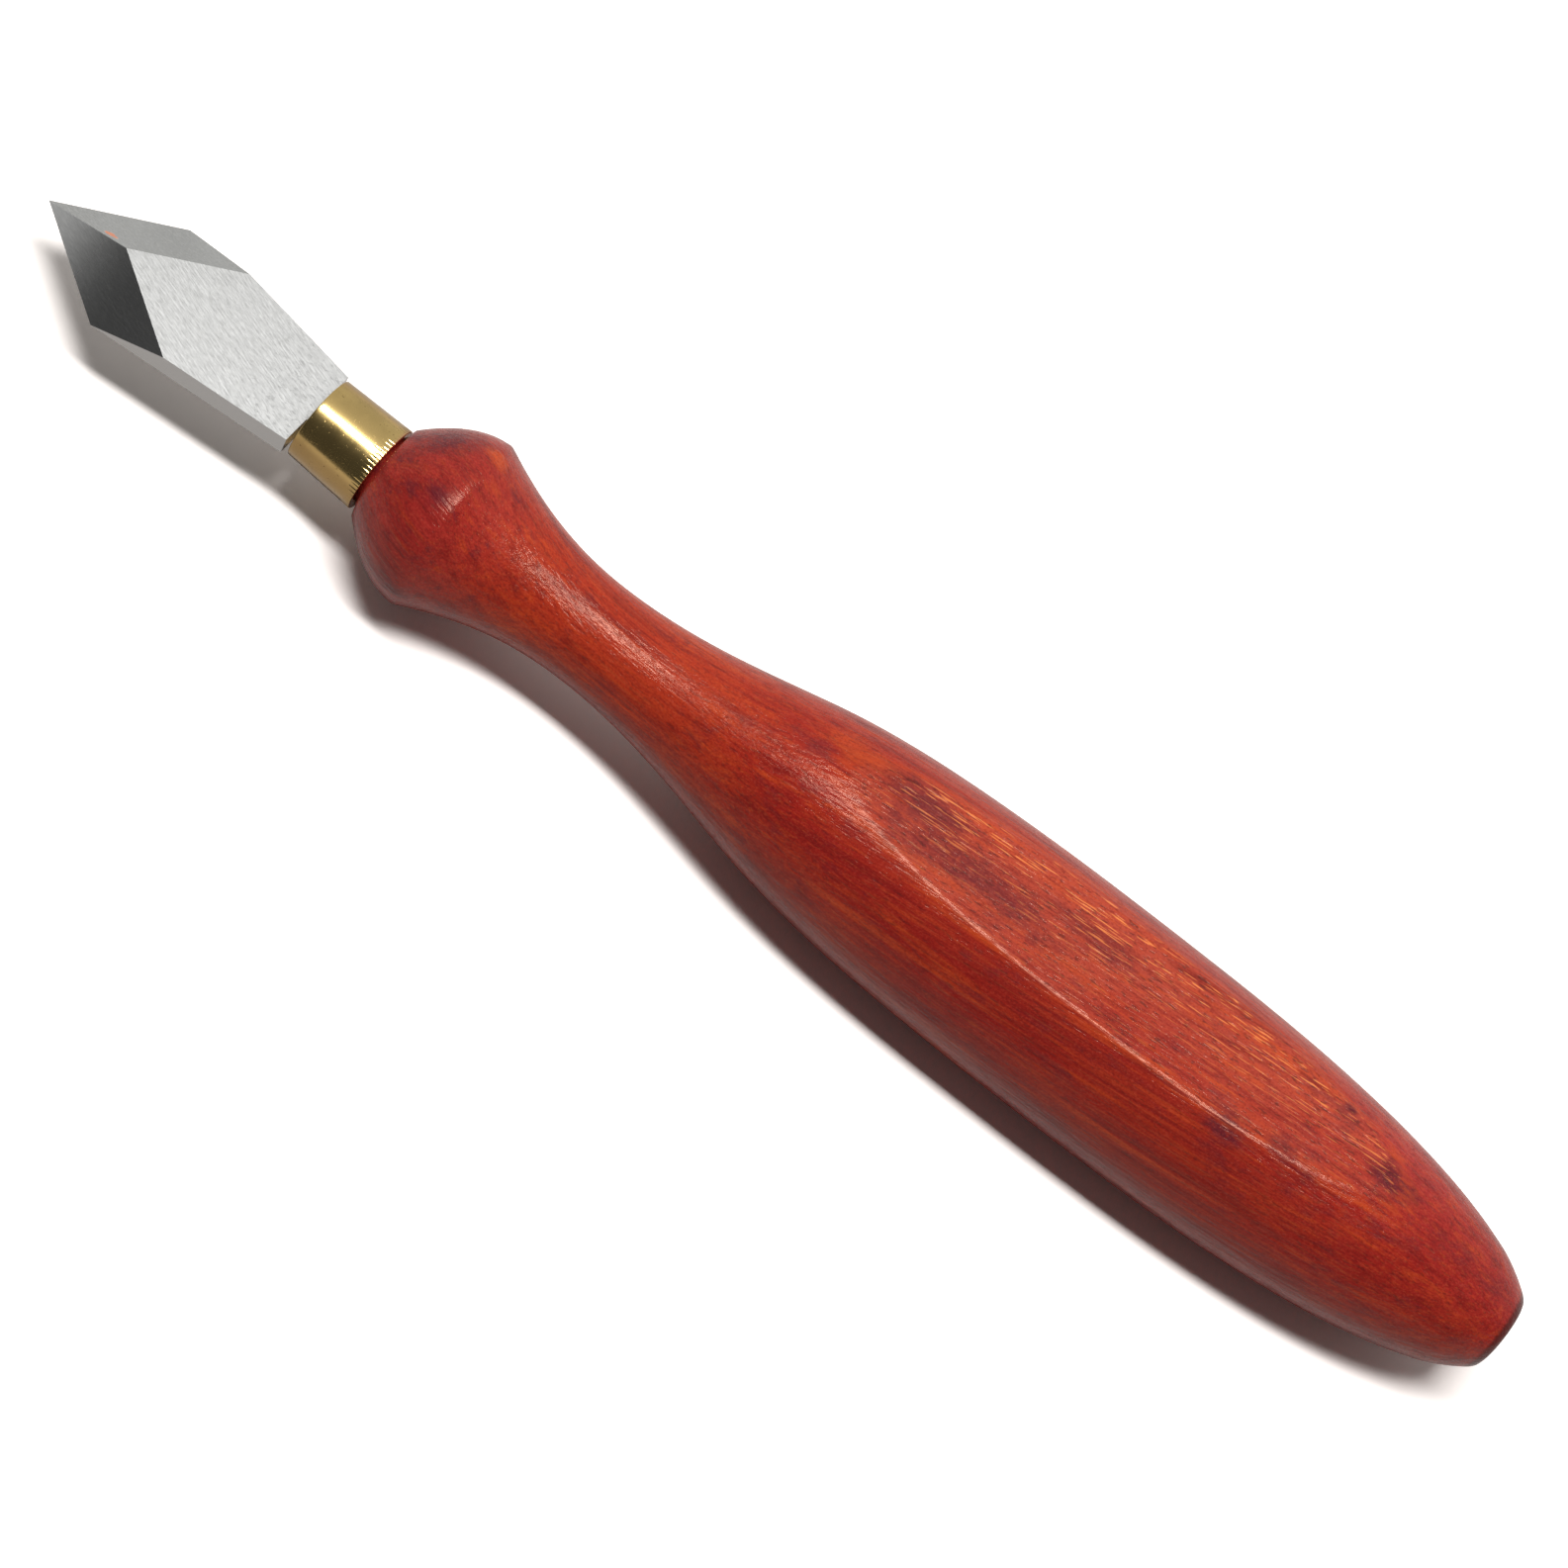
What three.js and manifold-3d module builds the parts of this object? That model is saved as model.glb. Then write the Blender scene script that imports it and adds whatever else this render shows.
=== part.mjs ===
// Lino cutting knife: a spear-point steel blade set in a turned hardwood handle through a brass ferrule.
// Millimetres. +X runs along the tool from the point to the butt, and +Z is square to the handle's flats.
// The origin is midway along the tool, on the plane that the handle's lower flat rests on.

import * as THREE from "three";
import { mergeVertices } from "three/addons/utils/BufferGeometryUtils.js";
import Module from "manifold-3d";

// Clearance kept between pieces that touch on the real tool.
const GAP = 0.3;

// Blade: flat back, two bevels ground on the upper side only.
const BLADE_LENGTH = 36.1; // point to ferrule mouth
const BLADE_THICKNESS = 2.8;
const BLADE_HALF_WIDTH = 8.05; // at the two heels of the cutting edges
const EDGE_RUN = 12.45; // point to heel, along the centre line
const RIDGE_RUN = 9.9; // point to the place where the bevels' ridge meets the upper face
const SHOULDER_HALF_WIDTH = 5.15;
const SHOULDER_STANDOFF = 0.5; // from shoulder to ferrule mouth

// Tang: a tapered bar of the same steel, hidden in the handle.
const TANG_LENGTH = 30;
const TANG_ROOT_HALF_WIDTH = 1.85;
const TANG_END_HALF_WIDTH = 1.2;
const TANG_OVERLAP = 2; // how far the tang's bar starts inside the blade

// Ferrule: drawn brass tube, a little wider behind than in front.
const FERRULE_LENGTH = 8.4;
const FERRULE_MOUTH_RADIUS = 4.85;
const FERRULE_REAR_RADIUS = 5.1;
const FERRULE_BORE = 4.4;
const FERRULE_CHAMFER = 0.2;

// Set: the blade, ferrule, tenon and bore share a line that stands a little off the handle's axis.
const SET_ANGLE = THREE.MathUtils.degToRad(2.64);
const SET_PIVOT = FERRULE_LENGTH; // the two lines cross at the back of the ferrule

// Handle: places are measured behind the ferrule mouth.
const HANDLE_END = 153.9;
const TENON_START = 0.6;
const TENON_RADIUS = FERRULE_BORE - GAP;
const COLLAR_START = FERRULE_LENGTH + GAP;
const COLLAR_RADIUS = 5.4;
const BULB_PEAK = 17.2;
const BULB_RADIUS = 10.2;
const BULB_RIM_WIDTH = 0.5; // narrow straight band at the bulb's widest place
const NECK = 36;
const NECK_RADIUS = 5.82;
const FLANK = 58.5; // where the outline turns from hollow to full
const FLANK_RADIUS = 9.2;
const BELLY_START = 99;
const BELLY_END = 104;
const BELLY_RADIUS = 12.3;
const BUTT = 148;
const BUTT_RADIUS = 7.45;
const BUTT_RIM = 152.9;
const BUTT_RIM_RADIUS = 4.8;
const BUTT_FACE = 153.4;
const BUTT_FACE_RADIUS = 4.3;
const FLAT_DISTANCE = 10.72; // from the axis to each flat
const BORE_RADIUS = 3.2;
const BORE_END = TANG_LENGTH + 1.5; // a little deeper than the tang
const EPOXY_RADIUS = BORE_RADIUS - GAP;

// Fineness of the curved surfaces.
const TURNED_SEGMENTS = 48;
const CURVE_STEPS = 9;

// Side of the blocks that cut the flats, the bevels and the collar.
const CUTTER = 100;

// Corners nearer than this are joined into one.
const WELD = 1e-4;

// Because of the set, the point reaches a little less than the blade's length ahead of the mouth.
const TIP_REACH = (BLADE_LENGTH + SET_PIVOT) * Math.cos(SET_ANGLE) - SET_PIVOT;
const MOUTH_X = (TIP_REACH - HANDLE_END) / 2;

const wasm = await Module();
wasm.setup();

// A manifold solid made from closed three.js geometry.
function solidFrom(geometry) {
  const plain = geometry.clone();
  plain.deleteAttribute("normal");
  plain.deleteAttribute("uv");
  const merged = mergeVertices(plain, WELD);
  return new wasm.Manifold(
    new wasm.Mesh({
      numProp: 3,
      vertProperties: merged.attributes.position.array,
      triVerts: new Uint32Array(merged.index.array),
    }),
  );
}

// three.js geometry made from a manifold solid.
function geometryFrom(solid) {
  const mesh = solid.getMesh();
  const geometry = new THREE.BufferGeometry();
  geometry.setAttribute("position", new THREE.BufferAttribute(mesh.vertProperties, 3));
  geometry.setIndex(new THREE.BufferAttribute(mesh.triVerts, 1));
  const faceted = geometry.toNonIndexed();
  faceted.computeVertexNormals();
  return faceted;
}

// A body of revolution about the tool's axis. Each point is (radius, place behind the mouth).
function turned(points) {
  const geometry = new THREE.LatheGeometry(points, TURNED_SEGMENTS);
  geometry.rotateZ(-Math.PI / 2);
  return geometry;
}

// A plain round rod on the tool's axis, between two places behind the mouth.
function rod(radius, start, end) {
  return turned([
    new THREE.Vector2(0, start),
    new THREE.Vector2(radius, start),
    new THREE.Vector2(radius, end),
    new THREE.Vector2(0, end),
  ]);
}

// Geometry made on the handle's axis, swung round to the line of the set.
function swung(geometry) {
  return geometry.translate(-SET_PIVOT, 0, 0).rotateZ(-SET_ANGLE).translate(SET_PIVOT, 0, 0);
}

// A flat plate with the given outline, centred on the tool's axis in height.
function plate(corners, thickness) {
  const outline = new THREE.Shape(corners.map(([x, y]) => new THREE.Vector2(x, y)));
  const geometry = new THREE.ExtrudeGeometry(outline, { depth: thickness, bevelEnabled: false });
  geometry.translate(0, 0, -thickness / 2);
  return geometry;
}

// A block whose lower face lies on the plane of three points, on the side the points turn towards.
function blockOver(a, b, c) {
  const along = b.clone().sub(a).normalize();
  const up = along.clone().cross(c.clone().sub(a)).normalize();
  const across = up.clone().cross(along);
  const geometry = new THREE.BoxGeometry(CUTTER, CUTTER, CUTTER);
  geometry.translate(0, 0, CUTTER / 2);
  geometry.applyMatrix4(new THREE.Matrix4().makeBasis(along, across, up).setPosition(a));
  return geometry;
}

function mesh(name, geometry, color, roughness, metalness) {
  const made = new THREE.Mesh(geometry, new THREE.MeshStandardMaterial({ color, roughness, metalness }));
  made.name = name;
  return made;
}

// Tang outline from the given start, with clearance added all round.
function tangCorners(start, clearance) {
  const root = TANG_ROOT_HALF_WIDTH + clearance;
  const end = TANG_END_HALF_WIDTH + clearance;
  return [
    [start, -root],
    [TANG_LENGTH + clearance, -end],
    [TANG_LENGTH + clearance, end],
    [start, root],
  ];
}

// Blade and tang, one piece of tool steel.
function makeBlade() {
  const shoulder = BLADE_LENGTH - SHOULDER_STANDOFF;
  const back = -BLADE_THICKNESS / 2;
  const front = BLADE_THICKNESS / 2;
  const point = new THREE.Vector3(0, 0, back);
  const leftHeel = new THREE.Vector3(EDGE_RUN, BLADE_HALF_WIDTH, back);
  const rightHeel = new THREE.Vector3(EDGE_RUN, -BLADE_HALF_WIDTH, back);
  const ridge = new THREE.Vector3(RIDGE_RUN, 0, front);
  const corners = [
    [0, 0],
    [EDGE_RUN, -BLADE_HALF_WIDTH],
    [shoulder, -SHOULDER_HALF_WIDTH],
    [shoulder, SHOULDER_HALF_WIDTH],
    [EDGE_RUN, BLADE_HALF_WIDTH],
  ];
  const ground = solidFrom(plate(corners, BLADE_THICKNESS))
    .subtract(solidFrom(blockOver(leftHeel, point, ridge)))
    .subtract(solidFrom(blockOver(point, rightHeel, ridge)));
  const tang = plate(tangCorners(-TANG_OVERLAP, 0), BLADE_THICKNESS);
  tang.translate(BLADE_LENGTH, 0, 0);
  const whole = geometryFrom(ground.add(solidFrom(tang)));
  whole.translate(-BLADE_LENGTH, 0, 0);
  return mesh("blade", swung(whole), 0xb9babb, 0.32, 1);
}

// Brass ferrule, with both rims eased.
function makeFerrule() {
  const profile = [
    new THREE.Vector2(FERRULE_BORE, 0),
    new THREE.Vector2(FERRULE_MOUTH_RADIUS - FERRULE_CHAMFER, 0),
    new THREE.Vector2(FERRULE_MOUTH_RADIUS, FERRULE_CHAMFER),
    new THREE.Vector2(FERRULE_REAR_RADIUS, FERRULE_LENGTH - FERRULE_CHAMFER),
    new THREE.Vector2(FERRULE_REAR_RADIUS - FERRULE_CHAMFER, FERRULE_LENGTH),
    new THREE.Vector2(FERRULE_BORE, FERRULE_LENGTH),
    new THREE.Vector2(FERRULE_BORE, 0),
  ];
  return mesh("ferrule", swung(turned(profile)), 0xb5994f, 0.22, 1);
}

// Outside of the handle from the collar to the butt, as a path of (radius, place).
// It starts ahead of the collar's face, which is cut on the line of the set.
function handleOutline() {
  const path = new THREE.Path();
  path.moveTo(COLLAR_RADIUS - GAP, COLLAR_START - GAP);
  path.lineTo(COLLAR_RADIUS, COLLAR_START);
  path.bezierCurveTo(8, 11.2, 10.1, 14.2, BULB_RADIUS, BULB_PEAK);
  path.lineTo(BULB_RADIUS, BULB_PEAK + BULB_RIM_WIDTH);
  path.bezierCurveTo(7.45, 23.6, NECK_RADIUS, 29, NECK_RADIUS, NECK);
  path.bezierCurveTo(NECK_RADIUS, 44.5, 7.65, 51.5, FLANK_RADIUS, FLANK);
  path.bezierCurveTo(11.05, 66.5, BELLY_RADIUS, 76, BELLY_RADIUS, BELLY_START);
  path.lineTo(BELLY_RADIUS, BELLY_END);
  path.bezierCurveTo(BELLY_RADIUS, 126, 10.7, 139, BUTT_RADIUS, BUTT);
  path.bezierCurveTo(6.76, 150, 5.6, 151.8, BUTT_RIM_RADIUS, BUTT_RIM);
  path.lineTo(BUTT_FACE_RADIUS, BUTT_FACE);
  path.quadraticCurveTo(BUTT_FACE_RADIUS / 2, HANDLE_END, 0, HANDLE_END);
  return path.getPoints(CURVE_STEPS);
}

// Handle: turned, planed flat twice, then faced, stepped and bored on the line of the set.
function makeHandle() {
  const profile = [new THREE.Vector2(0, TENON_START), ...handleOutline()];
  const shaving = new THREE.BoxGeometry(2 * HANDLE_END, CUTTER, CUTTER);
  const upper = shaving.clone().translate(0, 0, FLAT_DISTANCE + CUTTER / 2);
  const lower = shaving.clone().translate(0, 0, -FLAT_DISTANCE - CUTTER / 2);
  const facing = new THREE.BoxGeometry(CUTTER, CUTTER, CUTTER).translate(COLLAR_START - CUTTER / 2, 0, 0);
  const shaped = solidFrom(turned(profile))
    .subtract(solidFrom(upper))
    .subtract(solidFrom(lower))
    .subtract(solidFrom(swung(facing)))
    .add(solidFrom(swung(rod(TENON_RADIUS, TENON_START, COLLAR_START + TENON_RADIUS))))
    .subtract(solidFrom(swung(rod(BORE_RADIUS, 0, BORE_END))));
  return mesh("handle", geometryFrom(shaped), 0x8f2a1c, 0.42, 0);
}

// Bed of set adhesive that fills the bore round the tang.
function makeTangEpoxy() {
  const slot = plate(tangCorners(-TANG_OVERLAP, GAP), BLADE_THICKNESS + 2 * GAP);
  const bed = solidFrom(rod(EPOXY_RADIUS, TENON_START, BORE_END - GAP)).subtract(solidFrom(slot));
  return mesh("tang_epoxy", swung(geometryFrom(bed)), 0xc8a468, 0.5, 0);
}

const knife = new THREE.Group();
knife.add(makeBlade(), makeFerrule(), makeHandle(), makeTangEpoxy());
knife.position.set(MOUTH_X, 0, FLAT_DISTANCE);

export default knife;
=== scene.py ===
import math
import typing

import bmesh
import bpy
from bpy.props import FloatProperty, FloatVectorProperty, IntProperty, PointerProperty
from mathutils import Matrix, Vector, noise


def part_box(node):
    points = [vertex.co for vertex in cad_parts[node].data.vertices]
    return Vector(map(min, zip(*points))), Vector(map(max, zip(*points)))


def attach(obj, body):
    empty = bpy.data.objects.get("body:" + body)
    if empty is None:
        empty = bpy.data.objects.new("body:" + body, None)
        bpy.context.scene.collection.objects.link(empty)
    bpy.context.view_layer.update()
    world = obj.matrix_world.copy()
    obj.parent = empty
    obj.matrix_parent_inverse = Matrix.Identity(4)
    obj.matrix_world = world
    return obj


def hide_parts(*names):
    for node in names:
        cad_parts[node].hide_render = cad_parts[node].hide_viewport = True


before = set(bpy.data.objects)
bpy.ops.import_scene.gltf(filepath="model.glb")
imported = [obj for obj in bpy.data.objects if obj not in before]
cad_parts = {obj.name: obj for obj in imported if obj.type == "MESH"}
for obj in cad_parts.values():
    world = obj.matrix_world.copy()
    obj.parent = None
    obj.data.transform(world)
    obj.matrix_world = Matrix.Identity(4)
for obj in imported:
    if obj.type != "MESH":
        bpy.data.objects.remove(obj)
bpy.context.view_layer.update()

bl_info = {
    "name": "Lino Cutting Knife",
    "version": (1, 0, 0),
    "blender": (4, 5, 0),
    "location": "3D View > Sidebar > Knife",
    "description": "Builds the blade, ferrule and stained handle of a lino cutting knife round its frame",
    "category": "Object",
}

MM = 0.001
HANDLE_LOW, HANDLE_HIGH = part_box("handle")
AXIS_HEIGHT = (HANDLE_LOW.z + HANDLE_HIGH.z) / 2
FERRULE_LOW, FERRULE_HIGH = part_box("ferrule")
GLUE_LOW, GLUE_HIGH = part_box("tang_epoxy")
BLADE_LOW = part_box("blade")[0]
BORE_GAP = 0.3 * MM  # between the tenon and the ferrule, and round the adhesive


# ---------------------------------------------------------------------------
# Sizes and colours that a maker would change
# ---------------------------------------------------------------------------


def length(name, description, millimetres):
    """A length property, given in millimetres and held in metres."""
    return FloatProperty(
        name=name, description=description, default=millimetres * MM, min=0, precision=5, unit="LENGTH"
    )


def angle(name, description, degrees):
    """An angle property, given in degrees and held in radians."""
    return FloatProperty(
        name=name, description=description, default=math.radians(degrees), unit="ROTATION"
    )


def colour(name, description, rgb):
    """A colour property."""
    return FloatVectorProperty(
        name=name, description=description, default=rgb, size=3, min=0, max=1, subtype="COLOR"
    )


class KnifeSizes(bpy.types.PropertyGroup):
    """Fine sizes that the frame's plain solids leave open"""

    set_angle: angle("Set", "Angle between the ferrule's line and the handle's axis", 2.64)
    edge_ease: length("Edge ease", "Rounding of the blade's edges", 0.018)
    skin_step: length("Skin step", "Spacing of the handle's rings along its outline", 0.42)
    skin_clearance: length("Skin clearance", "How far the carved surface stays inside the turned one", 0.04)
    crease_softness: length("Crease softness", "How much the edges of the planed flats are worn round", 0.12)
    tooth_depth: length("Tooth depth", "Depth of the serrations at the back of the ferrule", 0.05)
    tooth_run: length("Tooth run", "Length of the serrations", 0.9)
    tooth_count: IntProperty(name="Teeth", description="Serrations round the ferrule", default=64, min=12)


class KnifeColours(bpy.types.PropertyGroup):
    """Colours of the knife's finishes"""

    stain_red: colour("Red stain", "Body colour of the stained wood", (0.265, 0.0125, 0.0085))
    stain_brick: colour("Brick stain", "Warmer body colour of the stained wood", (0.305, 0.0215, 0.0105))
    stain_amber: colour("Amber grain", "Light grain where the stain is thin", (0.48, 0.062, 0.012))
    stain_crimson: colour("Crimson stain", "Stain on the bulb and the butt", (0.34, 0.026, 0.030))
    # Painted light: a lighter tone on the handle's left side, for the stronger light that falls there; not a
    # real stain.
    painted_light_left: colour("Warm stain", "Lighter stain on the left side", (0.40, 0.046, 0.023))
    # Dark grain; the same colour is also laid along the handle's right side as painted shade.
    dark_grain_and_shade: colour("Dark grain", "Fibres that hold more stain", (0.135, 0.0075, 0.0075))
    stain_plum: colour("Plum stain", "Marks where the stain pooled", (0.085, 0.011, 0.019))
    open_grain: colour("Open grain", "Bare threads of the cut flats", (0.80, 0.25, 0.07))
    # Partly worn stain and partly a painted highlight along the edges of the flats.
    worn_edge_and_highlight: colour("Worn edge", "Thin stain along the edges of the flats", (0.72, 0.25, 0.16))
    pore: colour("Pores", "Filled pores", (0.05, 0.006, 0.006))
    lacquer: colour("Lacquer", "Warm tint of the thin coat's shine", (1.0, 0.62, 0.48))
    flat_tan: colour("Planed stain", "Thinner stain on the planed flats", (0.40, 0.070, 0.040))
    brass: colour("Brass", "Ferrule metal", (0.76, 0.54, 0.21))
    steel: colour("Steel", "Blade metal", (0.69, 0.69, 0.68))
    rust: colour("Rust", "Speck on the blade", (0.50, 0.20, 0.12))
    glue: colour("Glue", "Set adhesive", (0.55, 0.40, 0.20))


class KnifeStage(bpy.types.PropertyGroup):
    """Floor, light and camera"""

    eye_distance: length("Eye distance", "From the camera to the tool's axis", 455.4)
    eye_tilt: angle("Eye tilt", "Camera's angle from straight above, to the tool's right side", 29)
    eye_roll: angle("Eye roll", "Slope of the tool's axis across the view", 37.678)
    aim_along: length("Aim along", "View centre's place along the tool, from its middle", 1.97)
    aim_across: FloatProperty(
        name="Aim across", description="View centre's place across the tool", default=-0.21 * MM,
        unit="LENGTH",
    )
    lens: FloatProperty(name="Lens", description="Focal length in millimetres", default=101.75)
    floor: colour("Floor", "Pale table", (0.99, 0.935, 0.90))
    floor_gain: FloatProperty(
        name="Floor gain", description="Lifts the table to a clear white", default=1.18
    )
    bounce: FloatProperty(
        name="Bounce", description="Share of the table's light that reaches the tool", default=0.52
    )
    pale_wall: FloatProperty(name="Pale wall", description="Brightness beyond the tool", default=0.55)
    dark_wall: FloatProperty(name="Dark wall", description="Brightness behind the viewer", default=0.06)
    lamp_height: length("Lamp height", "From the table to the lamp", 900)
    lamp_length: length("Lamp length", "Along the tool", 620)
    lamp_width: length("Lamp width", "Across the tool", 130)
    lamp_along: FloatProperty(
        name="Lamp along", description="Lamp's place along the tool", default=0.0, unit="LENGTH"
    )
    lamp_lean: angle("Lamp lean", "Lamp's angle from straight above, towards the viewer", 2.2)
    lamp_power: FloatProperty(name="Lamp power", description="In watts", default=10.2, unit="POWER")


# ---------------------------------------------------------------------------
# Mesh helpers
# ---------------------------------------------------------------------------


def new_piece(name, verts, faces, material):
    """A smooth mesh object with one material."""
    data = bpy.data.meshes.new(name)
    data.from_pydata(verts, [], faces)
    data.validate()
    data.materials.append(material)
    piece = bpy.data.objects.new(name, data)
    bpy.context.scene.collection.objects.link(piece)
    data.shade_smooth()
    return piece


def ringed_mesh(rings, closed_loop=False):
    """Vertices and faces of a surface through equal rings of points. A ring of one point is a pole."""
    verts = [point for ring in rings for point in ring]
    starts = [0]
    for ring in rings:
        starts.append(starts[-1] + len(ring))
    pairs = list(zip(range(len(rings)), range(1, len(rings))))
    if closed_loop:
        pairs.append((len(rings) - 1, 0))
    faces = []
    for a, b in pairs:
        faces.extend(band(starts[a], len(rings[a]), starts[b], len(rings[b])))
    return verts, faces


def band(start_a, count_a, start_b, count_b):
    """Faces between two rings, either of which may be a pole."""
    count = max(count_a, count_b)
    faces = []
    for i in range(count):
        j = (i + 1) % count
        if count_a == 1:
            faces.append((start_a, start_b + j, start_b + i))
        elif count_b == 1:
            faces.append((start_a + i, start_a + j, start_b))
        else:
            faces.append((start_a + i, start_a + j, start_b + j, start_b + i))
    return faces


def set_line():
    """Matrix from the ferrule's own line, mouth end first, to the frame."""
    sizes = bpy.context.scene.knife_sizes
    radius = (FERRULE_HIGH.z - FERRULE_LOW.z) / 2
    pivot_x = FERRULE_HIGH.x - radius * math.sin(sizes.set_angle)
    place = Matrix.Translation((pivot_x, 0, AXIS_HEIGHT))
    return place @ Matrix.Rotation(-sizes.set_angle, 4, "Z")


# ---------------------------------------------------------------------------
# Blade
# ---------------------------------------------------------------------------

WELD = 0.002 * MM
SAME_PLANE = math.radians(0.5)


class KNIFE_OT_blade(bpy.types.Operator):
    """Make the ground blade with its worn edges"""

    bl_idname = "knife.blade"
    bl_label = "Blade"

    def execute(self, context):
        sizes = context.scene.knife_sizes
        shape = bmesh.new()
        shape.from_mesh(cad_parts["blade"].data)
        bmesh.ops.remove_doubles(shape, verts=shape.verts, dist=WELD)
        bmesh.ops.dissolve_limit(
            shape, angle_limit=SAME_PLANE, verts=shape.verts, edges=shape.edges
        )
        bmesh.ops.bevel(
            shape, geom=shape.edges[:], offset=sizes.edge_ease, segments=2, profile=0.5, affect="EDGES"
        )
        data = bpy.data.meshes.new("ground_blade")
        shape.to_mesh(data)
        shape.free()
        data.materials.append(steel_finish())
        blade = bpy.data.objects.new("ground_blade", data)
        context.scene.collection.objects.link(blade)
        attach(blade, "root")
        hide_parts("blade")
        return {"FINISHED"}


# ---------------------------------------------------------------------------
# Ferrule
# ---------------------------------------------------------------------------

FERRULE_LENGTH = 8.4 * MM
FERRULE_BORE = 4.4 * MM
MOUTH_RADIUS = 4.85 * MM
LIP = 0.10 * MM  # rounding of the two rims
LIP_STEPS = 4
WALL_STEPS = 26
STEPS_PER_TOOTH = 12
TOOTH_SPREAD = 1.7  # keeps neighbouring teeth unlike each other
UNEVEN_RUN = 0.5
UNEVEN_DEPTH = 0.8
TOOTH_START = 0.25  # share of a tooth's run over which it deepens
TOOTH_SHARPNESS = 7


class KNIFE_OT_ferrule(bpy.types.Operator):
    """Make the brass ferrule with its serrated back rim"""

    bl_idname = "knife.ferrule"
    bl_label = "Ferrule"

    def execute(self, context):
        verts, faces = ringed_mesh(ferrule_rings(context.scene.knife_sizes), closed_loop=True)
        ferrule = new_piece("serrated_ferrule", verts, faces, brass_finish())
        ferrule.data.transform(set_line())
        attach(ferrule, "root")
        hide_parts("ferrule")
        return {"FINISHED"}


def ferrule_rings(sizes):
    """Rings of the ferrule round its own line, whose origin is the middle of its back rim."""
    rear_radius = (FERRULE_HIGH.z - FERRULE_LOW.z) / 2
    count = sizes.tooth_count * STEPS_PER_TOOTH
    mouth_wall = (FERRULE_BORE + MOUTH_RADIUS - LIP) / 2
    section = [(-FERRULE_LENGTH, FERRULE_BORE), (-FERRULE_LENGTH, mouth_wall)]
    quarter = [math.pi / 2 * i / LIP_STEPS for i in range(LIP_STEPS + 1)]
    for turn in quarter:
        x = -FERRULE_LENGTH + LIP * (1 - math.cos(turn))
        section.append((x, MOUTH_RADIUS - LIP * (1 - math.sin(turn))))
    for i in range(1, WALL_STEPS):
        t = i / WALL_STEPS
        x = -FERRULE_LENGTH + LIP + t * (FERRULE_LENGTH - 2 * LIP)
        section.append((x, MOUTH_RADIUS + t * (rear_radius - MOUTH_RADIUS)))
    for turn in quarter:
        section.append((-LIP * (1 - math.sin(turn)), rear_radius - LIP * (1 - math.cos(turn))))
    section.append((0, FERRULE_BORE))
    return [tooth_ring(x, r, count, sizes) for x, r in section]


def tooth_ring(x, radius, count, sizes):
    """One ring of the ferrule, notched where it lies within the serrations."""
    ring = []
    for i in range(count):
        turn = 2 * math.pi * i / count
        tooth = (i + STEPS_PER_TOOTH // 2) // STEPS_PER_TOOTH % sizes.tooth_count
        unevenness = noise.noise(Vector((tooth * TOOTH_SPREAD, 0, 0)))
        run = sizes.tooth_run * (1 + UNEVEN_RUN * unevenness)
        reach = min(1, max(0, (x + run) / (TOOTH_START * run)))
        cut = (0.5 + 0.5 * math.cos(sizes.tooth_count * turn)) ** TOOTH_SHARPNESS
        notched = radius > FERRULE_BORE
        depth = sizes.tooth_depth * (1 + UNEVEN_DEPTH * unevenness) * reach * cut * notched
        r = radius - depth
        ring.append((x, -r * math.sin(turn), r * math.cos(turn)))
    return ring


# ---------------------------------------------------------------------------
# Handle
# ---------------------------------------------------------------------------

CREASE_SPREAD = 0.05  # radians on each side of a flat's edge
LEAST_CREASE = 0.14
FLAT_STEPS = 9
CREASE_STEPS = 10
SIDE_STEPS = 16
TENON_FRONT = -7.8 * MM  # on the ferrule's line, from the ferrule's back
BORE_BACK = 23.1 * MM
SWELL_RUN = 14 * MM  # length and turn of the surface's slow swells
SWELL_TURN = 1.6
RIPPLE_RUN = 16 * MM
RIPPLE_TURN = 4
FADE_RADIUS = 4 * MM  # a thinner stretch wanders less


class KNIFE_OT_handle(bpy.types.Operator):
    """Make the turned handle with its worn flats"""

    bl_idname = "knife.handle"
    bl_label = "Handle"

    def execute(self, context):
        sizes = context.scene.knife_sizes
        rings = socket_rings() + skin_rings(sizes)
        verts, faces = ringed_mesh(rings)
        handle = new_piece("stained_handle", verts, faces, wood_finish())
        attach(handle, "root")
        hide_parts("handle")
        return {"FINISHED"}


def frame_outline():
    """The handle's outline in the frame, as (place, radius) where its side stands furthest out."""
    widest = {}
    collar = FERRULE_HIGH.x
    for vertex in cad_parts["handle"].data.vertices:
        x, y, z = vertex.co
        radius = math.hypot(y, z - AXIS_HEIGHT)
        on_side = abs(z - AXIS_HEIGHT) < WELD and y > 0
        in_bore = x < 0 and radius < FERRULE_BORE
        if on_side and x > collar and not in_bore:
            key = round(x / WELD)
            widest[key] = max(widest.get(key, (x, 0)), (x, radius))
    points = sorted(widest.values())
    return points + [(HANDLE_HIGH.x, 0)]


def curve_through(points, step):
    """Evenly spaced points on a smooth curve through the given ones."""
    fine = []
    last = len(points) - 1
    for i in range(last):
        before = Vector(points[max(i - 1, 0)])
        start = Vector(points[i])
        end = Vector(points[i + 1])
        after = Vector(points[min(i + 2, last)])
        count = max(1, math.ceil((end - start).length / step))
        for k in range(count):
            fine.append(spline_point(before, start, end, after, k / count))
    fine.append(Vector(points[-1]))
    return fine


def spline_point(before, start, end, after, t):
    """A point on the Catmull-Rom curve between start and end."""
    lift = (end - before) / 2
    land = (after - start) / 2
    return (
        start
        + lift * t
        + (3 * (end - start) - 2 * lift - land) * t * t
        + (2 * (start - end) + lift + land) * t * t * t
    )


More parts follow.
